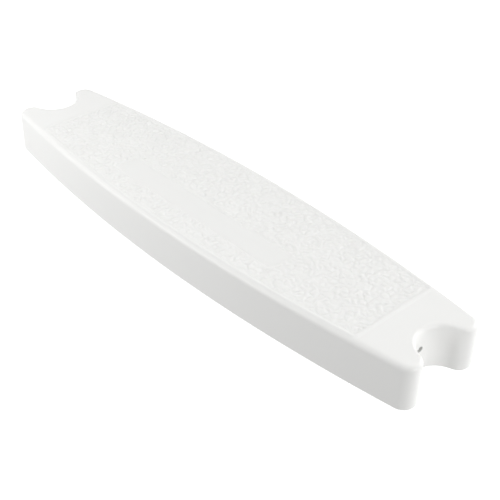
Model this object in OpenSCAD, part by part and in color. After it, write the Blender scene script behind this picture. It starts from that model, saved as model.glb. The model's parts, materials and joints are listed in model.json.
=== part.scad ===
// Moulded tread of a pool ladder.
// Two bowed skirts carry a flat deck, and each end is a half-round saddle between two horns
// that seats on a tubular rail. A bolt through each saddle runs into a captive nut.
// X runs along the tread, Y from the front skirt to the rear, and Z up from the lower rim.

/* [Rails] */
// Distance between the centre lines of the two rails
rail_spacing = 500; // [480:1:520]
// Outside diameter of a rail tube
rail_d = 43; // [40:0.5:45]
// Radial clearance between a rail and its saddle
saddle_gap = 0.25; // [0.1:0.05:0.4]

/* [Tread] */
// Width across the middle of the tread
tread_w = 122; // [118:1:130]
// Height from the lower rim to the plain deck
tread_h = 40; // [36:0.2:44]
// Radius of the long bowed sides
side_r = 1610; // [1500:10:1900]
// Radius of a horn's nose as a share of the horn's thickness
nose_share = 0.568; // [0.54:0.002:0.58]
// Thickness of the skirts and saddles
wall_t = 3; // [2.5:0.1:3.5]
// Thickness of the deck
deck_t = 4; // [3.5:0.1:5]

/* [Grip panel] */
// Distance from the long sides to the panel
panel_inset = 3; // [3:0.5:5]
// Half length of the panel
panel_half_len = 203.5; // [195:0.5:208]
// Corner radius of the panel
panel_corner_r = 6; // [3:0.5:8]
// Depth of the panel's seat in the deck
panel_t = 2; // [1.6:0.1:2.4]
// Width of the raised bead around the panel
bead_w = 5; // [3:0.5:5.5]
// Height of the bead above the deck
bead_h = 0.5; // [0.4:0.1:1]

/* [Name plate] */
// Length of the blank plate
plate_len = 204; // [160:1:230]
// Width of the plate
plate_w = 24.4; // [18:0.2:28]
// Distance from the tread's centre line to the plate's, towards the front
plate_offset = 20.2; // [18:0.2:24]
// Corner radius of the plate
plate_corner_r = 6; // [3:0.5:9]
// Thickness of the plate
plate_t = 0.8; // [0.6:0.1:1]
// How far the plate lies below the deck
plate_sink = 0.4; // [0.2:0.1:0.6]

/* [Ribs] */
// Thickness of every rib
rib_t = 2.5; // [2:0.1:3]
// Distance between neighbouring cross ribs
rib_pitch = 44; // [42:1:45]
// Height of the ribs' lower edge above the rim
rib_foot = 9; // [6:1:14]

/* [Bolts] */
// Height of the bolt holes above the rim
bolt_z = 21; // [18:0.2:22]
// Diameter of the bolt holes
bolt_hole_d = 5.5; // [5.3:0.1:5.8]
// Size of a nut across its flats
nut_flats = 8; // [8:0.5:9]
// Thickness of a nut
nut_t = 4; // [3.5:0.1:4.7]
// Bore of a nut at the crests of its thread
nut_bore_d = 4.2; // [4.1:0.1:4.4]

/* [Hidden] */

WHITE = [0.94, 0.94, 0.93];
RIB_WHITE = [0.90, 0.90, 0.89];
PANEL_WHITE = [0.88, 0.88, 0.87];
STEEL = [0.70, 0.71, 0.72];

LONG_FN = 720;
ROUND_FN = 96;
// Arcs that meet end to end cross by this much, so that their union is clean
BLEND = 0.03;
// How far a cutting tool runs past the face that it cuts
CUT = 1;

rail_x = rail_spacing / 2;
saddle_r = rail_d / 2 + saddle_gap;
side_c = side_r - tread_w / 2;
deck_z = tread_h - deck_t;

// A horn's nose is a circle that touches the side arc inside and the saddle outside
horn_t = sqrt(side_r * side_r - rail_x * rail_x) - side_c - saddle_r;
nose_r = nose_share * horn_t;
centres = sqrt(rail_x * rail_x + side_c * side_c);
to_side = side_r - nose_r;
to_saddle = saddle_r + nose_r;
along = (centres * centres + to_saddle * to_saddle - to_side * to_side) / (2 * centres);
across = sqrt(to_saddle * to_saddle - along * along);
nose_x = rail_x - (along * rail_x + across * side_c) / centres;
nose_y = (across * rail_x - along * side_c) / centres;

// Behind the saddle come its wall, the boss's face, the nut and the room for the bolt's end
saddle_face_x = rail_x - saddle_r;
boss_face = 6;
boss_w = 20;
boss_drop = 12;
bolt_end_room = 6;
boss_back = 3;
nut_x = saddle_face_x - wall_t - boss_face - nut_t;
nut_slot_t = nut_t + 0.3;
nut_corner_r = nut_flats / 2 / cos(30);
boss_x = nut_x - bolt_end_room - boss_back;
skirt_end_x = boss_x + boss_back;
rib_rows = floor((boss_x - rib_t) / rib_pitch + 0.5);

// Band between the two bowed sides, moved in by inset and cut off square at each end
module band(inset, half_len) {
    intersection() {
        translate([0, side_c])
            circle(r = side_r - inset, $fn = LONG_FN);
        translate([0, -side_c])
            circle(r = side_r - inset, $fn = LONG_FN);
        square([2 * half_len, tread_w], center = true);
    }
}

// Whole plan of the tread, moved in by inset: the band, four noses, less the two saddles
module plan(inset) {
    touch_x = nose_x * (side_r - inset) / (side_r - nose_r);
    difference() {
        union() {
            band(inset, touch_x);
            for (sx = [-1, 1], sy = [-1, 1])
                translate([sx * nose_x, sy * nose_y])
                    circle(r = nose_r - inset + BLEND, $fn = ROUND_FN);
        }
        for (sx = [-1, 1])
            translate([sx * rail_x, 0])
                circle(r = saddle_r + inset, $fn = ROUND_FN);
    }
}

// Band with its four corners rounded
module rounded_band(inset, half_len, corner_r) {
    corner_x = half_len - corner_r;
    corner_y = sqrt(pow(side_r - inset - corner_r, 2) - corner_x * corner_x) - side_c;
    band(inset, corner_x);
    band(inset + corner_r, half_len);
    for (sx = [-1, 1], sy = [-1, 1])
        translate([sx * corner_x, sy * corner_y])
            circle(r = corner_r + BLEND, $fn = ROUND_FN);
}

// Rectangle with round corners
module rounded_rectangle(length, width, corner_r) {
    square([length - 2 * corner_r, width], center = true);
    square([length, width - 2 * corner_r], center = true);
    for (sx = [-1, 1], sy = [-1, 1])
        translate([sx * (length / 2 - corner_r), sy * (width / 2 - corner_r)])
            circle(r = corner_r, $fn = ROUND_FN);
}

module bolt_hole(x_from, x_to) {
    translate([x_from, 0, bolt_z])
        rotate([0, 90, 0])
            cylinder(d = bolt_hole_d, h = x_to - x_from, $fn = ROUND_FN);
}

module deck() {
    color(WHITE)
        difference() {
            translate([0, 0, deck_z])
                linear_extrude(deck_t)
                    plan(0);
            translate([0, 0, tread_h - panel_t])
                linear_extrude(panel_t + CUT)
                    rounded_band(panel_inset, panel_half_len, panel_corner_r);
        }
}

// Long bowed side wall; side is -1 at the front and 1 at the rear
module skirt(side) {
    color(WHITE)
        linear_extrude(deck_z)
            intersection() {
                difference() {
                    band(0, skirt_end_x);
                    band(wall_t, skirt_end_x + CUT);
                }
                translate([-skirt_end_x, side > 0 ? 0 : -tread_w])
                    square([2 * skirt_end_x, tread_w]);
            }
}

module front_skirt() {
    skirt(-1);
}

module rear_skirt() {
    skirt(1);
}

// Hollow end wall at +X: both horns and the saddle between them
module saddle() {
    color(WHITE)
        difference() {
            linear_extrude(deck_z)
                intersection() {
                    difference() {
                        plan(0);
                        plan(wall_t);
                    }
                    translate([skirt_end_x, -tread_w / 2])
                        square([rail_spacing, tread_w]);
                }
            bolt_hole(saddle_face_x - 2 * wall_t, rail_x);
        }
}

module saddle_right() {
    saddle();
}

module saddle_left() {
    mirror([1, 0, 0])
        saddle();
}

// Rib along the middle of the underside, from boss to boss
module centre_rib() {
    color(RIB_WHITE)
        translate([-boss_x, -rib_t / 2, rib_foot])
            cube([2 * boss_x, rib_t, deck_z - rib_foot]);
}

// Ribs from skirt to skirt, each in two halves that meet the centre rib
module cross_ribs() {
    color(RIB_WHITE)
        translate([0, 0, rib_foot])
            linear_extrude(deck_z - rib_foot)
                intersection() {
                    band(wall_t, skirt_end_x);
                    for (i = [0.5 : 1 : rib_rows - 0.5], sx = [-1, 1], sy = [-1, 1])
                        translate([sx * i * rib_pitch, sy * (tread_w + rib_t) / 2])
                            square([rib_t, tread_w], center = true);
                }
}

// Cutter for a slot across the bolt's line: open below, and its top at the bolt's height plus reach
module slot(x_from, length, width, reach) {
    translate([x_from, -width / 2, bolt_z - boss_drop - CUT])
        cube([length, width, boss_drop + CUT + reach]);
}

// Block behind the +X saddle: the bolt's hole, then a slot for the nut and one for the bolt's end
module bolt_boss() {
    color(RIB_WHITE)
        difference() {
            translate([boss_x, -boss_w / 2, bolt_z - boss_drop])
                cube([saddle_face_x - boss_x, boss_w, deck_z - bolt_z + boss_drop]);
            translate([rail_x, 0, 0])
                cylinder(r = saddle_r + wall_t, h = tread_h, $fn = ROUND_FN);
            bolt_hole(nut_x + nut_t - nut_slot_t / 2, rail_x);
            slot(nut_x + nut_t - nut_slot_t, nut_slot_t, nut_flats, nut_corner_r);
            slot(boss_x + boss_back, nut_x - boss_x, bolt_hole_d, bolt_hole_d / 2);
        }
}

module bolt_boss_right() {
    bolt_boss();
}

module bolt_boss_left() {
    mirror([1, 0, 0])
        bolt_boss();
}

// Anti-slip panel in the deck, with a bead around it and a pocket for the blank plate
module grip_panel() {
    color(PANEL_WHITE)
        difference() {
            union() {
                translate([0, 0, tread_h - panel_t])
                    linear_extrude(panel_t)
                        rounded_band(panel_inset, panel_half_len, panel_corner_r);
                translate([0, 0, tread_h - panel_t / 2])
                    linear_extrude(panel_t / 2 + bead_h)
                        difference() {
                            rounded_band(panel_inset, panel_half_len, panel_corner_r);
                            rounded_band(
                                panel_inset + bead_w, panel_half_len - bead_w, panel_corner_r - bead_w / 2
                            );
                        }
            }
            translate([0, -plate_offset, tread_h - plate_sink - plate_t])
                linear_extrude(plate_sink + plate_t + CUT)
                    rounded_rectangle(plate_len, plate_w, plate_corner_r);
        }
}

module name_plate() {
    color(WHITE)
        translate([0, -plate_offset, tread_h - plate_sink - plate_t])
            linear_extrude(plate_t)
                rounded_rectangle(plate_len, plate_w, plate_corner_r);
}

// Chamfered hexagon nut at +X with two flats upright, so that the slot keeps it from turning
module nut() {
    corner_chamfer = nut_corner_r - nut_flats / 2;
    color(STEEL)
        translate([nut_x, 0, bolt_z])
            rotate([0, 90, 0])
                difference() {
                    intersection() {
                        cylinder(r = nut_corner_r, h = nut_t, $fn = 6);
                        union() {
                            cylinder(
                                r1 = nut_flats / 2, r2 = nut_corner_r + corner_chamfer,
                                h = nut_t / 2, $fn = ROUND_FN
                            );
                            translate([0, 0, nut_t / 2])
                                cylinder(
                                    r1 = nut_corner_r + corner_chamfer, r2 = nut_flats / 2,
                                    h = nut_t / 2, $fn = ROUND_FN
                                );
                        }
                    }
                    translate([0, 0, -CUT])
                        cylinder(d = nut_bore_d, h = nut_t + 2 * CUT, $fn = ROUND_FN);
                }
}

module nut_right() {
    nut();
}

module nut_left() {
    mirror([1, 0, 0])
        nut();
}

deck();
front_skirt();
rear_skirt();
saddle_left();
saddle_right();
centre_rib();
cross_ribs();
bolt_boss_left();
bolt_boss_right();
grip_panel();
name_plate();
nut_left();
nut_right();
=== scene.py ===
"""Looks of the pool ladder tread, a white moulding with a pebbled grip panel, in the CAD frame."""
import json
import math

import bmesh
import bpy
import numpy as np
from mathutils import Matrix, Vector


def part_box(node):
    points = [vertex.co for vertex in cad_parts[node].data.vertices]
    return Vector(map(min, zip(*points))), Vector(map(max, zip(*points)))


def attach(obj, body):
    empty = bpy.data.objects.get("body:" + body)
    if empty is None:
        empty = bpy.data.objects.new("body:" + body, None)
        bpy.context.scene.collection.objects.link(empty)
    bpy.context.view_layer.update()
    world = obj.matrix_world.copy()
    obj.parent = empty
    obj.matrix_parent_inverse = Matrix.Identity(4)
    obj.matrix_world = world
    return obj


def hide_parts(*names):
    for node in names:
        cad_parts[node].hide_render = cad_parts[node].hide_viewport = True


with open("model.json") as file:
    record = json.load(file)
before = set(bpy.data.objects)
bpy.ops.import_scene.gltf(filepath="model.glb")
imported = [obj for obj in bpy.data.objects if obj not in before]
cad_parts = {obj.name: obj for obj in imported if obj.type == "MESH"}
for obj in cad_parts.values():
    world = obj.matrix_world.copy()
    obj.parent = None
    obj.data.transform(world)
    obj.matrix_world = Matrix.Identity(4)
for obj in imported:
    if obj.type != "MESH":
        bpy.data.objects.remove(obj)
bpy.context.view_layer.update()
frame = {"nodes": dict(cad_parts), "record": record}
scene = bpy.context.scene

MM = 0.001
QUARTER = math.pi / 2

# ---------------------------------------------------------------- places and sizes from the frame
mounts = {m["name"]: m for m in frame["record"]["mounts"]}
RAIL_X = mounts["saddle_right"]["pos_m"][0]
SADDLE_R = mounts["saddle_right"]["dims"]["r_mm"] * MM
BOLT_R = mounts["bolt_hole_right"]["dims"]["r_mm"] * MM
BOLT_Z = mounts["bolt_hole_right"]["pos_m"][2]
DECK_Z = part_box("deck")[1].z
CEILING_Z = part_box("deck")[0].z
HALF_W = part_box("rear_skirt")[1].y
PANEL_HALF_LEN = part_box("grip_panel")[1].x
PANEL_EDGE_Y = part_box("grip_panel")[1].y
SEAT_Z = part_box("grip_panel")[0].z
BEAD_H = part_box("grip_panel")[1].z - DECK_Z
PLATE_LOW, PLATE_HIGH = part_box("name_plate")
RIB_LOW, RIB_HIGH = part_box("centre_rib")
CROSS_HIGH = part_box("cross_ribs")[1]

# ---------------------------------------------------------------- the moulding's own numbers
SIDE_R = 1610 * MM  # bow of the long sides, seen from above
NOSE_R = 11.2 * MM  # tips of the horns, seen from above
SIDE_DRAFT = 0.3 * MM  # lean of the long sides between the rim and the deck
SADDLE_DRAFT = 0.25 * MM
TOP_FILLET = 5.2 * MM  # upper edge of the sides and horns
SADDLE_FILLET = 3.5 * MM  # upper edge of the saddles
RIM_ROUND = 0.8 * MM  # lower edge, outside
WALL_T = 3 * MM
INNER_FILLET = 1.5 * MM  # where the walls meet the underside of the deck
INNER_RIM_ROUND = 0.5 * MM  # lower edge, inside

SIDE_STEPS, NOSE_STEPS, SADDLE_STEPS = 44, 16, 20
INNER_FILLET_STEPS, INNER_RIM_STEPS, RIM_STEPS, TOP_FILLET_STEPS = 4, 3, 4, 14
INNER_WALL_LEVELS, OUTER_WALL_LEVELS = 7, 8

SIDE_C = SIDE_R - HALF_W  # the sides' arcs are centred this far beyond the middle line


def arc(centre, radius, start, end, steps):
    """Points on an arc, both ends included."""
    t = np.linspace(start, end, steps + 1)
    return np.c_[centre[0] + radius * np.cos(t), centre[1] + radius * np.sin(t)]


def quarter_outline(side_in, saddle_in):
    """The +X +Y quarter of the plan outline: bowed side, nose of the horn, saddle.

    side_in moves the side in, saddle_in the saddle, and the nose stays tangent to both.
    """
    side = SIDE_R - side_in
    saddle = SADDLE_R + saddle_in
    nose = NOSE_R - (side_in + saddle_in) / 2
    apart = math.hypot(RAIL_X, SIDE_C)
    to_side, to_saddle = side - nose, saddle + nose
    along = (apart**2 + to_saddle**2 - to_side**2) / (2 * apart)
    across = math.sqrt(to_saddle**2 - along**2)
    nose_x = RAIL_X - (along * RAIL_X + across * SIDE_C) / apart
    nose_y = (across * RAIL_X - along * SIDE_C) / apart
    touch_side = math.atan2(nose_y + SIDE_C, nose_x)
    touch_saddle = math.atan2(-nose_y, RAIL_X - nose_x)
    return np.concatenate([
        arc((0, -SIDE_C), side, QUARTER, touch_side, SIDE_STEPS),
        arc((nose_x, nose_y), nose, touch_side, touch_saddle, NOSE_STEPS)[1:],
        arc((RAIL_X, 0), saddle, touch_saddle + math.pi, math.pi, SADDLE_STEPS)[1:],
    ])


def outline(side_in, saddle_in):
    """The whole plan outline, mirrored from one quarter."""
    q = quarter_outline(side_in, saddle_in)
    return np.concatenate([
        q, q[::-1][1:] * [1, -1], q[1:] * [-1, -1], q[::-1][1:-1] * [-1, 1],
    ])


def shell_ring(z, side_inset, saddle_inset):
    """The outline at height z, with the mould's draft."""
    share = z / DECK_Z
    flat = outline(SIDE_DRAFT * share + side_inset, SADDLE_DRAFT * share + saddle_inset)
    return np.c_[flat, np.full(len(flat), z)]


def fillet(radius, steps):
    """(drop, inset) pairs from the wall, where the inset is 0, to the flat, where the drop is 0."""
    t = np.linspace(0, QUARTER, steps + 1)
    return [(radius * (1 - math.sin(a)), radius * (1 - math.cos(a))) for a in t]


def deck_surface(x, y):
    """Height of the moulding's upper side, side fillet included, away from the horns."""
    inset = SIDE_R - SIDE_DRAFT - np.hypot(x, np.abs(y) + SIDE_C)
    left = np.clip(TOP_FILLET - inset, 0, TOP_FILLET)
    return DECK_Z - TOP_FILLET + np.sqrt(TOP_FILLET**2 - left**2)


# ---------------------------------------------------------------- mesh helpers
SAME_POINT = 1e-7
TOOL_STEPS = 48


def new_object(name, verts, faces):
    mesh = bpy.data.meshes.new(name)
    mesh.from_pydata([tuple(v) for v in verts], [], faces)
    obj = bpy.data.objects.new(name, mesh)
    scene.collection.objects.link(obj)
    tidy_mesh(obj)
    return obj


def tidy_mesh(obj):
    """Merges doubled points and turns all faces outwards."""
    bm = bmesh.new()
    bm.from_mesh(obj.data)
    bmesh.ops.remove_doubles(bm, verts=bm.verts, dist=SAME_POINT)
    bmesh.ops.recalc_face_normals(bm, faces=bm.faces)
    bm.to_mesh(obj.data)
    bm.free()


def smooth(obj, sharp_angle):
    """Smooth shading, with the edges sharper than the angle, in degrees, kept."""
    bm = bmesh.new()
    bm.from_mesh(obj.data)
    limit = math.radians(sharp_angle)
    for face in bm.faces:
        face.smooth = True
    for edge in bm.edges:
        edge.smooth = len(edge.link_faces) == 2 and edge.calc_face_angle(0) < limit
    bm.to_mesh(obj.data)
    bm.free()


def loft(rings):
    """Points and faces of a stack of rings with equally many points, with both ends shut."""
    n = len(rings[0])
    verts = np.concatenate(rings)
    faces = []
    for k in range(len(rings) - 1):
        a, b = k * n, (k + 1) * n
        faces += [(a + i, a + (i + 1) % n, b + (i + 1) % n, b + i) for i in range(n)]
    faces.append(tuple(range(n)))
    faces.append(tuple(range(len(verts) - n, len(verts))))
    return verts, faces


def apply_modifiers(obj):
    graph = bpy.context.evaluated_depsgraph_get()
    mesh = bpy.data.meshes.new_from_object(obj.evaluated_get(graph))
    obj.modifiers.clear()
    old, obj.data = obj.data, mesh
    name = old.name
    bpy.data.meshes.remove(old)
    mesh.name = name


def cut(obj, tool):
    """Cuts the tool out of obj, and removes the tool."""
    mod = obj.modifiers.new("cut", "BOOLEAN")
    mod.operation = "DIFFERENCE"
    mod.solver = "EXACT"
    mod.object = tool
    apply_modifiers(obj)
    mesh = tool.data
    bpy.data.objects.remove(tool)
    bpy.data.meshes.remove(mesh)


def weight_normals(obj):
    """Makes the large flat faces look flat next to their fillets."""
    mod = obj.modifiers.new("weighted", "WEIGHTED_NORMAL")
    mod.mode = "FACE_AREA"
    mod.keep_sharp = True
    apply_modifiers(obj)


def turned(name, start, direction, profile):
    """Solid of revolution about a line along X: profile holds (distance along it, radius)."""
    t = np.linspace(0, 2 * math.pi, TOOL_STEPS, endpoint=False)
    rings = [
        np.c_[
            np.full(TOOL_STEPS, start[0] + direction * along),
            start[1] + radius * np.cos(t),
            start[2] + radius * np.sin(t),
        ]
        for along, radius in profile
    ]
    return new_object(name, *loft(rings))


# ---------------------------------------------------------------- the moulding
def shell_profile():
    """(height, side inset, saddle inset) from the ceiling inside, round the rim, to the deck."""
    inner_top = [
        (CEILING_Z - drop, WALL_T + inset)
        for drop, inset in reversed(fillet(INNER_FILLET, INNER_FILLET_STEPS))
    ]
    inner_rim = [(drop, WALL_T - inset) for drop, inset in fillet(INNER_RIM_ROUND, INNER_RIM_STEPS)]
    outer_rim = [(drop, inset) for drop, inset in reversed(fillet(RIM_ROUND, RIM_STEPS))]
    outer_top = [(DECK_Z - drop, inset) for drop, inset in fillet(TOP_FILLET, TOP_FILLET_STEPS)]
    down = np.linspace(inner_top[-1][0], inner_rim[0][0], INNER_WALL_LEVELS)[1:-1]
    up = np.linspace(outer_rim[-1][0], outer_top[0][0], OUTER_WALL_LEVELS)[1:-1]
    plain = inner_top + [(z, WALL_T) for z in down] + inner_rim + outer_rim + [(z, 0) for z in up]
    levels = [(z, inset, inset) for z, inset in plain]
    for z, inset in outer_top:
        rise = np.clip(z - (DECK_Z - SADDLE_FILLET), 0, SADDLE_FILLET)
        levels.append((z, inset, SADDLE_FILLET - math.sqrt(SADDLE_FILLET**2 - rise**2)))
    return levels


PANEL_CORNER_R = 6 * MM
PANEL_R = SIDE_R - (HALF_W - PANEL_EDGE_Y)  # bow of the panel's long sides
PANEL_SIDE_STEPS, PANEL_CORNER_STEPS = 60, 10
BOLT_MOUTH = 0.2 * MM  # rounded mouth of each bolt hole
SHELL_SHARP_ANGLE = 30


def panel_ring():
    """Outline of the grip panel's seat: bowed sides, straight ends, round corners."""
    x = PANEL_HALF_LEN - PANEL_CORNER_R
    y = math.sqrt((PANEL_R - PANEL_CORNER_R) ** 2 - x * x) - SIDE_C
    lean = math.atan2(y + SIDE_C, x)
    quarter = np.concatenate([
        arc((0, -SIDE_C), PANEL_R, QUARTER, lean, PANEL_SIDE_STEPS),
        arc((x, y), PANEL_CORNER_R, lean, 0, PANEL_CORNER_STEPS)[1:],
    ])
    return np.concatenate([
        quarter, quarter[::-1] * [1, -1], quarter[1:] * [-1, -1], quarter[::-1][:-1] * [-1, 1],
    ])


def build_shell():
    """Hollow moulding, open below, with the panel's seat and the two bolt holes cut into it."""
    shell = new_object("tread_shell", *loft([shell_ring(*level) for level in shell_profile()]))
    flat = panel_ring()
    above_deck = DECK_Z + TOP_FILLET
    seat = new_object("seat_tool", *loft([
        np.c_[flat, np.full(len(flat), z)] for z in (SEAT_Z, above_deck)
    ]))
    cut(shell, seat)
    for sx in (-1, 1):
        face = (sx * (RAIL_X - SADDLE_R), 0, BOLT_Z)
        hole = turned("hole_tool", face, sx, [
            (-2 * WALL_T, BOLT_R),
            (-BOLT_MOUTH, BOLT_R),
            (-0.2 * BOLT_MOUTH, BOLT_R + 0.3 * BOLT_MOUTH),
            (0.4 * BOLT_MOUTH, BOLT_R + BOLT_MOUTH),
            (SADDLE_R / 2, BOLT_R + BOLT_MOUTH),
        ])
        cut(shell, hole)
    tidy_mesh(shell)
    smooth(shell, SHELL_SHARP_ANGLE)
    weight_normals(shell)
    return shell


# ---------------------------------------------------------------- ribs under the deck
RIBS_PER_HALF = 5
RIB_LIP = 0.5 * MM  # rounding of the ribs' lower edge
RIB_DRAFT = 0.2 * MM  # how much each side of a rib leans out towards the deck
RIB_FLARE = 1.2 * MM  # fillet where a rib meets the deck
RIB_FLARE_STEPS = 4
RIB_LEVELS = 5
RIB_BITE = 0.3 * MM  # how far a cross rib's end reaches into the side wall
RIB_SHARP_ANGLE = 40


def rib_profile(half_t, foot, top):
    """(height, half thickness) of a rib from its foot to the deck."""
    levels = [
        (foot, half_t - RIB_LIP),
        (foot + 0.15 * RIB_LIP, half_t - 0.5 * RIB_LIP),
        (foot + RIB_LIP, half_t),
    ]
    levels += [
        (z, half_t + RIB_DRAFT * (z - foot) / (top - foot))
        for z in np.linspace(foot + RIB_LIP, top - RIB_FLARE, RIB_LEVELS)[1:]
    ]
    levels += [
        (top - drop, half_t + RIB_DRAFT + inset)
        for drop, inset in fillet(RIB_FLARE, RIB_FLARE_STEPS)[1:]
    ]
    return levels


def build_ribs():
    """Centre rib and cross ribs as one grid, thicker towards the deck, with a flared root."""
    t = RIB_HIGH.y - RIB_LOW.y
    half_x = RIB_HIGH.x
    last = CROSS_HIGH.x - t / 2
    pitch = last / (RIBS_PER_HALF - 0.5)
    xs = sorted(s * (i + 0.5) * pitch for i in range(RIBS_PER_HALF) for s in (-1, 1))
    rings = []
    for z, half in rib_profile(t / 2, RIB_LOW.z, RIB_HIGH.z):
        inner = SIDE_R - SIDE_DRAFT * z / DECK_Z - WALL_T + RIB_BITE
        upper = [(-half_x, half)]
        for x in xs:
            left, right = x - half, x + half
            left_wall = math.sqrt(inner**2 - left * left) - SIDE_C
            right_wall = math.sqrt(inner**2 - right * right) - SIDE_C
            upper += [(left, half), (left, left_wall), (right, right_wall), (right, half)]
        upper.append((half_x, half))
        flat = upper + [(x, -y) for x, y in reversed(upper)]
        rings.append(np.array([(x, y, z) for x, y in flat]))
    ribs = new_object("rib_grid", *loft(rings))
    smooth(ribs, RIB_SHARP_ANGLE)
    return ribs


# ---------------------------------------------------------------- grip panel
GRID = 0.62 * MM  # spacing of the panel's mesh
FRAME_ROWS = 10  # rows of the mesh across the panel's outer 6 mm
PANEL_SHARP_ANGLE = 60

# The bead along the panel's edge. The last three are distances from the edge, in bead widths.
BEAD_W = 5 * MM
BEAD_SHARE = 0.97  # of the CAD bead's height
FLOOR_FROM = 0.7  # where the grooves' floor starts to drop
PEBBLES_FROM = 0.84
PEBBLES_FULL = 1.04  # where floor and pebbles have reached their full depth and height

VALLEY = 0.36 * MM  # depth of the grooves' floor below the deck
RELIEF = 0.82 * MM  # height of the tallest pebbles above the grooves' floor
PEBBLE = 5.5 * MM  # one cell of the pattern holds one pebble
PEBBLE_COLUMNS, PEBBLE_ROWS = 100, 32
PEBBLE_SEED = 11
CELL_MARGIN, CELL_SPREAD = 0.1, 0.8  # where in its cell a pebble's centre may lie
PEBBLE_LOWEST, PEBBLE_SPREAD = 0.7, 0.3  # pebbles' heights, as shares of the relief
GROOVE = 0.7  # how far a groove reaches, in cells: the second nearest centre less the nearest
JOINED = 0.25  # share of the grooves that are shallow
JOINED_DEPTH = 0.4  # depth of a shallow groove, as a share of a full one
PAIR_SUM, PAIR_PRODUCT = 7.13, 3.7  # factors that pick the shallow grooves

# Waves that bend the cells out of their grid: the wave's length over 2 pi, then a second wave
# that shifts the first, by its height in radians and its own length over 2 pi.
BEND = 0.5 * MM
BEND_X = (1.9 * MM, 1.7, 3.3 * MM)
BEND_Y = (2.3 * MM, 1.3, 2.9 * MM)

PLATE_CORNER_R = 6 * MM
PLATE_MARGIN = 1.6 * MM  # smooth ledge around the name plate
LEDGE_FROM, LEDGE_TO = 0.4, 1.3  # where the pebbles rise around the plate, in margins
LEDGE_STEP = 0.03 * MM  # height of the ledge's lower end above the plate
POCKET_FROM, POCKET_TO = 0.3 * MM, 1.1 * MM  # where, inside its edge, the panel dips below it
TINY = 1e-9  # keeps a division by zero away


def smoothstep(low, high, value):
    """0 at low, 1 at high, and a soft rise between them. low may be the larger one."""
    t = np.clip((value - low) / (high - low), 0, 1)
    return t * t * (3 - 2 * t)


def pebble_height(x, y):
    """0 to 1: lumps of uneven size and height, some run together, with round grooves between."""
    columns, rows = PEBBLE_COLUMNS, PEBBLE_ROWS
    table = np.random.default_rng(PEBBLE_SEED).random((columns, rows, 3))
    bent_x = x + BEND * np.sin(y / BEND_X[0] + BEND_X[1] * np.sin(x / BEND_X[2]))
    bent_y = y + BEND * np.sin(bent_x / BEND_Y[0] + BEND_Y[1] * np.sin(y / BEND_Y[2]))
    gx, gy = bent_x / PEBBLE + columns / 2, bent_y / PEBBLE + rows / 2
    ix, iy = np.floor(gx).astype(int), np.floor(gy).astype(int)
    near, second = np.full(x.shape, np.inf), np.full(x.shape, np.inf)
    near_id, second_id = np.zeros(x.shape), np.zeros(x.shape)
    for dx in (-1, 0, 1):
        for dy in (-1, 0, 1):
            cx, cy = np.clip(ix + dx, 0, columns - 1), np.clip(iy + dy, 0, rows - 1)
            cell = table[cx, cy]
            off_x = cx + CELL_MARGIN + CELL_SPREAD * cell[..., 0] - gx
            off_y = cy + CELL_MARGIN + CELL_SPREAD * cell[..., 1] - gy
            away = np.hypot(off_x, off_y)
            closer = away < near
            next_one = ~closer & (away < second)
            second = np.where(closer, near, np.where(next_one, away, second))
            second_id = np.where(closer, near_id, np.where(next_one, cell[..., 2], second_id))
            near_id = np.where(closer, cell[..., 2], near_id)
            near = np.where(closer, away, near)
    pair = PAIR_SUM * (near_id + second_id) + PAIR_PRODUCT * near_id * second_id
    joined = np.modf(pair)[0] < JOINED
    depth = (1 + np.cos(math.pi * np.clip((second - near) / GROOVE, 0, 1))) / 2
    height = PEBBLE_LOWEST + PEBBLE_SPREAD * near_id
    return height * (1 - depth * np.where(joined, JOINED_DEPTH, 1.0))


def plate_distance(x, y):
    """Signed distance to the name plate's outline, negative inside."""
    mid = (PLATE_LOW + PLATE_HIGH) / 2
    half = (PLATE_HIGH - PLATE_LOW) / 2
    dx = np.abs(x - mid.x) - (half.x - PLATE_CORNER_R)
    dy = np.abs(y - mid.y) - (half.y - PLATE_CORNER_R)
    outside = np.hypot(np.clip(dx, 0, None), np.clip(dy, 0, None))
    return outside + np.minimum(np.maximum(dx, dy), 0) - PLATE_CORNER_R


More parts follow.
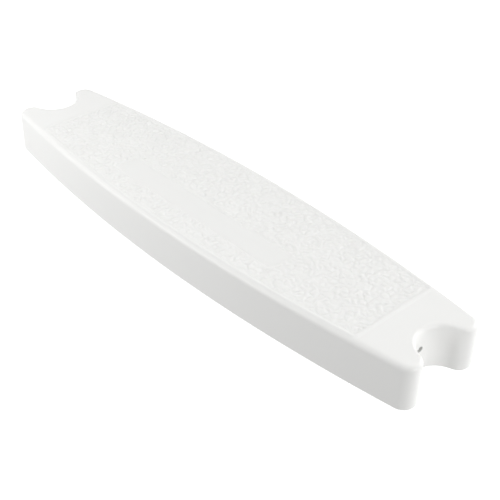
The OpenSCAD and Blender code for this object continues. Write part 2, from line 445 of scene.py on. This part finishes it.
def panel_grid():
    """Plan positions of the panel's grid, and each point's distance from the panel's edge.

    The middle is a plain grid that follows the bowed sides. Around it, FRAME_ROWS rows of
    points run out to the edge, and round the corners. a and b say how far out a point is in
    that frame along X and along Y, from 0 to 1, with its side as their sign.
    """
    r = PANEL_CORNER_R
    inner_len = PANEL_HALF_LEN - r
    columns = int(round(inner_len / GRID))
    rows = int(round((PANEL_EDGE_Y - r) / GRID))
    share = np.arange(1, FRAME_ROWS + 1) / FRAME_ROWS
    zeros = np.zeros(2 * columns + 1)
    col_x = np.concatenate([
        np.full(FRAME_ROWS, -inner_len), np.linspace(-inner_len, inner_len, 2 * columns + 1),
        np.full(FRAME_ROWS, inner_len),
    ])
    col_out = np.concatenate([-share[::-1], zeros, share])
    row_t = np.concatenate([
        np.full(FRAME_ROWS, -1.0), np.linspace(-1, 1, 2 * rows + 1), np.full(FRAME_ROWS, 1.0),
    ])
    row_out = np.concatenate([-share[::-1], np.zeros(2 * rows + 1), share])
    cx, rt = np.meshgrid(col_x, row_t, indexing="ij")
    a, b = np.meshgrid(col_out, row_out, indexing="ij")
    edge_y = np.sqrt((PANEL_R - r) ** 2 - cx**2)
    x = cx + r * a * (b == 0)
    y = rt * (edge_y - SIDE_C)
    side = (a == 0) & (b != 0)
    x = np.where(side, cx * (1 + r * np.abs(b) / (PANEL_R - r)), x)
    y = np.where(side, np.sign(b) * (edge_y * (1 + r * np.abs(b) / (PANEL_R - r)) - SIDE_C), y)
    lean = math.acos(inner_len / (PANEL_R - r))
    ua, ub = np.abs(a), np.abs(b)
    corner = (ua > 0) & (ub > 0)
    reach = np.maximum(ua, ub)
    low = np.where(ua >= ub, ub / np.maximum(ua, TINY), 2 - ua / np.maximum(ub, TINY))
    turn = lean * low / 2
    corner_y = math.sqrt((PANEL_R - r) ** 2 - inner_len**2) - SIDE_C
    x = np.where(corner, np.sign(a) * (inner_len + r * reach * np.cos(turn)), x)
    y = np.where(corner, np.sign(b) * (corner_y + r * reach * np.sin(turn)), y)
    to_side = PANEL_R - np.hypot(x, np.abs(y) + SIDE_C)
    inner_edge = np.minimum(to_side, PANEL_HALF_LEN - np.abs(x))
    return x, y, np.where(reach > 0, r * (1 - reach), inner_edge)


def build_panel():
    """Grip panel: bead, pebbles, and the pocket that the name plate lies in, with a flat back."""
    x, y, edge = panel_grid()
    bead = BEAD_H * BEAD_SHARE * np.sin(math.pi * np.clip(edge / BEAD_W, 0, 1)) ** 2
    plate = plate_distance(x, y)
    field = smoothstep(PEBBLES_FROM * BEAD_W, PEBBLES_FULL * BEAD_W, edge)
    field *= smoothstep(LEDGE_FROM * PLATE_MARGIN, LEDGE_TO * PLATE_MARGIN, plate)
    floor_drop = VALLEY * smoothstep(FLOOR_FROM * BEAD_W, PEBBLES_FULL * BEAD_W, edge)
    top = deck_surface(x, y) + bead - floor_drop + RELIEF * field * pebble_height(x, y)
    ledge_drop = DECK_Z - VALLEY - PLATE_HIGH.z - LEDGE_STEP
    top -= ledge_drop * smoothstep(PLATE_MARGIN, 0, plate)
    pocket = smoothstep(-POCKET_FROM, -POCKET_TO, plate)
    z = top * (1 - pocket) + PLATE_LOW.z * pocket
    n, m = x.shape
    verts = np.c_[x.ravel(), y.ravel(), z.ravel()]
    faces = [
        (i * m + j, (i + 1) * m + j, (i + 1) * m + j + 1, i * m + j + 1)
        for i in range(n - 1) for j in range(m - 1)
    ]
    rim = [i * m for i in range(n)] + [(n - 1) * m + j for j in range(1, m)]
    rim += [i * m + m - 1 for i in range(n - 2, -1, -1)] + list(range(m - 2, 0, -1))
    base = len(verts)
    low = verts[rim].copy()
    low[:, 2] = SEAT_Z
    verts = np.concatenate([verts, low])
    k = len(rim)
    faces += [(rim[i], rim[(i + 1) % k], base + (i + 1) % k, base + i) for i in range(k)]
    faces.append(tuple(base + i for i in range(k)))
    panel = new_object("grip_panel_moulded", verts, faces)
    smooth(panel, PANEL_SHARP_ANGLE)
    return panel


# ---------------------------------------------------------------- blank name plate
PLATE_GAP = 0.05 * MM  # how far the sides lie inside the CAD plate's
PLATE_BEVEL = 0.1 * MM
PLATE_FLAT = 2 * MM  # the ring of faces around the flat middle
PLATE_CORNER_STEPS = 12
PLATE_SHARP_ANGLE = 50


def plate_ring(inset, z):
    """The plate's outline, moved in by the inset, at height z."""
    mid = (PLATE_LOW + PLATE_HIGH) / 2
    half = (PLATE_HIGH - PLATE_LOW) / 2
    r = PLATE_CORNER_R
    flat = np.concatenate([
        arc(
            (mid.x + sx * (half.x - r), mid.y + sy * (half.y - r)), r - inset,
            turn * QUARTER, (turn + 1) * QUARTER, PLATE_CORNER_STEPS,
        )
        for turn, (sx, sy) in enumerate(((1, 1), (-1, 1), (-1, -1), (1, -1)))
    ])
    return np.c_[flat, np.full(len(flat), z)]


def build_plate():
    """Smooth oblong field, a little below the pebbles."""
    top = PLATE_HIGH.z
    plate = new_object("name_plate_blank", *loft([
        plate_ring(PLATE_GAP, PLATE_LOW.z),
        plate_ring(PLATE_GAP, top - PLATE_BEVEL),
        plate_ring(PLATE_GAP + PLATE_BEVEL, top),
        plate_ring(PLATE_FLAT, top),
    ]))
    smooth(plate, PLATE_SHARP_ANGLE)
    return plate


shell = build_shell()
ribs = build_ribs()
panel = build_panel()
plate = build_plate()


# ---------------------------------------------------------------- materials
# Sockets of a colour Mix node, by number, because each name stands there once per data type.
MIX_FACTOR, MIX_A, MIX_B, MIX_RESULT = 0, 6, 7, 2

# Scales of the noise textures, in cells per metre, and heights of the bumps, in metres.
CLOUD_SCALE, SHEEN_SCALE, GRAIN_SCALE = 22.0, 90.0, 2600.0
GRAIN_HEIGHT = 0.00005
CLOUD_DARK, CLOUD_LIGHT = 0.985, 1.01
SHEEN_SPREAD = 0.05
HOLLOW, EDGE = 0.47, 0.53  # pointiness of a hollow and of an edge
STEEL_BLOTCH_SCALE, STEEL_SHEEN_SCALE, STEEL_GRAIN_SCALE = 400.0, 1500.0, 3000.0
STEEL_GRAIN, STEEL_GRAIN_HEIGHT = 0.3, 0.00003
EDGE_POLISH = -0.08  # roughness that an edge loses
PLASTIC_IOR = 1.49


def node_material(name):
    mat = bpy.data.materials.new(name)
    mat.use_nodes = True
    tree = mat.node_tree
    return mat, tree, tree.nodes["Principled BSDF"]


def add(tree, kind, **values):
    """A new node, with its inputs or, where it has no such input, its settings filled in."""
    node = tree.nodes.new(kind)
    for key, value in values.items():
        if key in node.inputs:
            node.inputs[key].default_value = value
        else:
            setattr(node, key, value)
    return node


def noise(tree, scale, detail):
    where = add(tree, "ShaderNodeTexCoord")
    node = add(tree, "ShaderNodeTexNoise", Scale=scale, Detail=detail, Roughness=0.5)
    tree.links.new(where.outputs["Object"], node.inputs["Vector"])
    return node.outputs["Fac"]


def spread(tree, value, low, high):
    """Maps a value from 0 to 1 onto low to high."""
    node = add(tree, "ShaderNodeMapRange")
    node.inputs["To Min"].default_value = low
    node.inputs["To Max"].default_value = high
    tree.links.new(value, node.inputs["Value"])
    return node.outputs["Result"]


def scaled(colour, factor):
    return (*[min(1, channel * factor) for channel in colour], 1)


def bumps(tree, shader, scale, strength, height):
    """Fine noise in the surface normal."""
    bump = add(tree, "ShaderNodeBump", Strength=strength, Distance=height)
    tree.links.new(noise(tree, scale, 2.0), bump.inputs["Height"])
    tree.links.new(bump.outputs["Normal"], shader.inputs["Normal"])


def plastic(name, colour, rough, grain, hollow_shade):
    """Moulded plastic: faint cloudiness, an uneven sheen, a fine grain, polished edges, and painted
    shade in the hollows.

    The last argument is how much darker than the edges the painted shade makes the hollows.
    """
    mat, tree, shader = node_material(name)
    shader.inputs["IOR"].default_value = PLASTIC_IOR
    cloudy = add(tree, "ShaderNodeMix", data_type="RGBA")
    cloudy.inputs[MIX_A].default_value = scaled(colour, CLOUD_DARK)
    cloudy.inputs[MIX_B].default_value = scaled(colour, CLOUD_LIGHT)
    tree.links.new(noise(tree, CLOUD_SCALE, 4.0), cloudy.inputs[MIX_FACTOR])
    sheen = noise(tree, SHEEN_SCALE, 3.0)
    sheen = spread(tree, sheen, rough - SHEEN_SPREAD, rough + SHEEN_SPREAD)

    geometry = add(tree, "ShaderNodeNewGeometry")
    edge = add(tree, "ShaderNodeMapRange")
    edge.inputs["From Min"].default_value = HOLLOW
    edge.inputs["From Max"].default_value = EDGE
    tree.links.new(geometry.outputs["Pointiness"], edge.inputs["Value"])
    # Painted shade: the hollows, found by their pointiness, get a darker colour than the edges.
    shaded_hollows = add(tree, "ShaderNodeMix", data_type="RGBA")
    shaded_hollows.inputs[MIX_A].default_value = scaled(colour, 1 - hollow_shade)
    tree.links.new(edge.outputs["Result"], shaded_hollows.inputs[MIX_FACTOR])
    tree.links.new(cloudy.outputs[MIX_RESULT], shaded_hollows.inputs[MIX_B])
    tree.links.new(shaded_hollows.outputs[MIX_RESULT], shader.inputs["Base Color"])
    shine = add(tree, "ShaderNodeMath", operation="MULTIPLY_ADD")
    shine.inputs[1].default_value = EDGE_POLISH
    tree.links.new(edge.outputs["Result"], shine.inputs[0])
    tree.links.new(sheen, shine.inputs[2])
    tree.links.new(shine.outputs[0], shader.inputs["Roughness"])

    bumps(tree, shader, GRAIN_SCALE, grain, GRAIN_HEIGHT)
    return mat


def steel(name, dark, light, rough_low, rough_high):
    """Plain metal with faint blotches and an uneven sheen."""
    mat, tree, shader = node_material(name)
    shader.inputs["Metallic"].default_value = 1.0
    mix = add(tree, "ShaderNodeMix", data_type="RGBA")
    mix.inputs[MIX_A].default_value = scaled(dark, 1)
    mix.inputs[MIX_B].default_value = scaled(light, 1)
    tree.links.new(noise(tree, STEEL_BLOTCH_SCALE, 4.0), mix.inputs[MIX_FACTOR])
    tree.links.new(mix.outputs[MIX_RESULT], shader.inputs["Base Color"])
    sheen = spread(tree, noise(tree, STEEL_SHEEN_SCALE, 2.0), rough_low, rough_high)
    tree.links.new(sheen, shader.inputs["Roughness"])
    bumps(tree, shader, STEEL_GRAIN_SCALE, STEEL_GRAIN, STEEL_GRAIN_HEIGHT)
    return mat


# The plastic is one white. The plate's white is that white darkened by painted shade; the ribs'
# white is a little darker.
WHITE = (0.89, 0.89, 0.875)
# Painted shade: the shell's white, darkened for the name plate.
PLATE_SHADED_WHITE = (0.862, 0.862, 0.848)
RIB_WHITE = (0.87, 0.87, 0.855)
# The last number of each plastic is the painted shade in its hollows.
shell_white = plastic("shell_white", WHITE, rough=0.42, grain=0.25, hollow_shade=0.012)
grip_white = plastic("grip_white", WHITE, rough=0.48, grain=0.3, hollow_shade=0.045)
plate_shaded_white = plastic("plate_shaded_white", PLATE_SHADED_WHITE, rough=0.38, grain=0.2, hollow_shade=0.012)
rib_white = plastic("rib_white", RIB_WHITE, rough=0.5, grain=0.35, hollow_shade=0.012)
nut_steel = steel("nut_steel", (0.56, 0.565, 0.57), (0.68, 0.685, 0.69), 0.24, 0.42)

SHELL_NODES = ("deck", "front_skirt", "rear_skirt", "saddle_left", "saddle_right")
for piece, mat, slot, nodes in (
    (shell, shell_white, "shell", SHELL_NODES),
    (ribs, rib_white, "ribs", ("centre_rib", "cross_ribs")),
    (panel, grip_white, "grip", ("grip_panel",)),
    (plate, plate_shaded_white, "plate", ("name_plate",)),
):
    piece.data.materials.clear()
    piece.data.materials.append(mat)
    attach(piece, "root")
    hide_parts(*nodes)

# The bosses and nuts keep the frame's own meshes.
for node, mat in (
    ("bolt_boss_left", rib_white), ("bolt_boss_right", rib_white),
    ("nut_left", nut_steel), ("nut_right", nut_steel),
):
    for material_slot in frame["nodes"][node].material_slots:
        material_slot.material = mat


# ---------------------------------------------------------------- floor, light and camera
# The floor is plain white with no shadow, as in the photo. It doesn't light the tread, and it
# is clear from below, so that a view from there shows the tread's underside.
FLOOR_HALF = 12
FLOOR_Z = -0.05 * MM
floor = new_object("floor", [
    (-FLOOR_HALF, -FLOOR_HALF, 0), (FLOOR_HALF, -FLOOR_HALF, 0),
    (FLOOR_HALF, FLOOR_HALF, 0), (-FLOOR_HALF, FLOOR_HALF, 0),
], [(0, 1, 2, 3)])
floor_mat, floor_tree, floor_shader = node_material("floor_white")
floor_shader.inputs["Base Color"].default_value = (0.3, 0.3, 0.3, 1)
floor_shader.inputs["Roughness"].default_value = 0.9
floor_shader.inputs["Emission Color"].default_value = (1, 1, 1, 1)
floor_shader.inputs["Emission Strength"].default_value = 1.0
under = add(floor_tree, "ShaderNodeNewGeometry")
clear = add(floor_tree, "ShaderNodeBsdfTransparent")
one_sided = add(floor_tree, "ShaderNodeMixShader")
floor_tree.links.new(under.outputs["Backfacing"], one_sided.inputs[0])
floor_tree.links.new(floor_shader.outputs[0], one_sided.inputs[1])
floor_tree.links.new(clear.outputs[0], one_sided.inputs[2])
floor_tree.links.new(one_sided.outputs[0], floor_tree.nodes["Material Output"].inputs["Surface"])
floor.data.materials.append(floor_mat)
floor.location.z = FLOOR_Z
floor.visible_diffuse = False
floor.visible_glossy = False
floor.visible_shadow = False

# Each lobe lights from one direction and fades to nothing at a right angle to it. The one from
# below stands for the light that a white floor throws back.
WORLD_LOBES = (
    ((1, 0, 0), 0.04), ((-1, 0, 0), 0.52), ((0, 1, 0), 0.605), ((0, 0, -1), 1.14),
)
world = bpy.data.worlds.new("studio")
scene.world = world
world.use_nodes = True
world_tree = world.node_tree
backdrop = world_tree.nodes["Background"]
backdrop.inputs["Color"].default_value = (1, 1, 1, 1)
sky = add(world_tree, "ShaderNodeTexCoord")
total = None
for direction, strength in WORLD_LOBES:
    toward = add(world_tree, "ShaderNodeVectorMath", operation="DOT_PRODUCT")
    toward.inputs[1].default_value = direction
    world_tree.links.new(sky.outputs["Generated"], toward.inputs[0])
    facing = add(world_tree, "ShaderNodeMath", operation="MAXIMUM")
    facing.inputs[1].default_value = 0
    world_tree.links.new(toward.outputs["Value"], facing.inputs[0])
    lobe = add(world_tree, "ShaderNodeMath", operation="MULTIPLY_ADD")
    lobe.inputs[1].default_value = strength
    lobe.inputs[2].default_value = 0
    world_tree.links.new(facing.outputs[0], lobe.inputs[0])
    if total is not None:
        world_tree.links.new(total, lobe.inputs[2])
    total = lobe.outputs[0]

# The camera itself sees the world as plain white in every direction.
seen = add(world_tree, "ShaderNodeLightPath")
behind = add(world_tree, "ShaderNodeMath", operation="MAXIMUM")
world_tree.links.new(total, behind.inputs[0])
world_tree.links.new(seen.outputs["Is Camera Ray"], behind.inputs[1])
world_tree.links.new(behind.outputs[0], backdrop.inputs["Strength"])


def area_light(name, place, target, size, power):
    """Rectangular lamp, in metres and watts, that the camera doesn't see."""
    data = bpy.data.lights.new(name, "AREA")
    data.shape = "RECTANGLE"
    data.size, data.size_y = size
    data.energy = power
    obj = bpy.data.objects.new(name, data)
    obj.location = place
    obj.rotation_euler = (Vector(target) - Vector(place)).to_track_quat("-Z", "Y").to_euler()
    obj.visible_camera = False
    scene.collection.objects.link(obj)


for name, place, target, size, power in (
    ("over", (0, 0.1, 1.6), (0, 0, 0), (1.6, 1.2), 9.35),
    ("over_right", (0.8, 0, 1.2), (0.1, 0, 0), (0.8, 0.8), 1.2),
    ("rear_right", (0.5, 1.1, 0.45), (0.1, 0, 0.03), (0.5, 0.4), 4.8),
    ("right_low", (1.3, 0, 0.25), (0.2, 0, 0.02), (0.6, 0.4), 6.6),
    ("front_high", (0.2, -0.9, 1.3), (0.1, 0, 0.02), (1.0, 0.6), 1.55),
    ("left_front", (-0.4, -0.8, 0.5), (-0.15, -0.05, 0.02), (0.5, 0.4), 3.3),
    ("left_low", (-0.55, -0.5, 0.3), (-0.15, -0.05, 0.02), (0.4, 0.4), 1.0),
    ("left_near", (-0.6, -0.35, 0.15), (-0.2, -0.05, 0.02), (0.3, 0.3), 0.3),
    ("left_high", (-0.6, -0.7, 0.9), (-0.2, -0.05, 0.02), (0.5, 0.5), 0.43),
):
    area_light(name, place, target, size, power)

# The view, in degrees and metres. The lens is given as a multiple of the sensor's width.
VIEW_AZIMUTH, VIEW_ELEVATION, VIEW_ROLL = 46.581, 35.569, 1.572
VIEW_DISTANCE = 0.98095
VIEW_TARGET = Vector((-0.050257, 0.08988, -0.082466))
LENS_PER_SENSOR = 1.933814
SENSOR_WIDTH = 36
CLIP_START = 0.05

az, el, roll = map(math.radians, (VIEW_AZIMUTH, VIEW_ELEVATION, VIEW_ROLL))
back = Vector((math.sin(az) * math.cos(el), -math.cos(az) * math.cos(el), math.sin(el)))
right = Vector((math.cos(az), math.sin(az), 0))
up = back.cross(right)
turned_right = right * math.cos(roll) + up * math.sin(roll)
turned_up = up * math.cos(roll) - right * math.sin(roll)
camera_data = bpy.data.cameras.new("camera")
camera_data.sensor_width = SENSOR_WIDTH
camera_data.lens = LENS_PER_SENSOR * SENSOR_WIDTH
camera_data.clip_start = CLIP_START
camera = bpy.data.objects.new("camera", camera_data)
axes = Matrix((turned_right, turned_up, back)).transposed()
camera.matrix_world = Matrix.Translation(VIEW_TARGET + back * VIEW_DISTANCE) @ axes.to_4x4()
scene.collection.objects.link(camera)
scene.camera = camera

scene.view_settings.view_transform = "Standard"
scene.view_settings.look = "None"
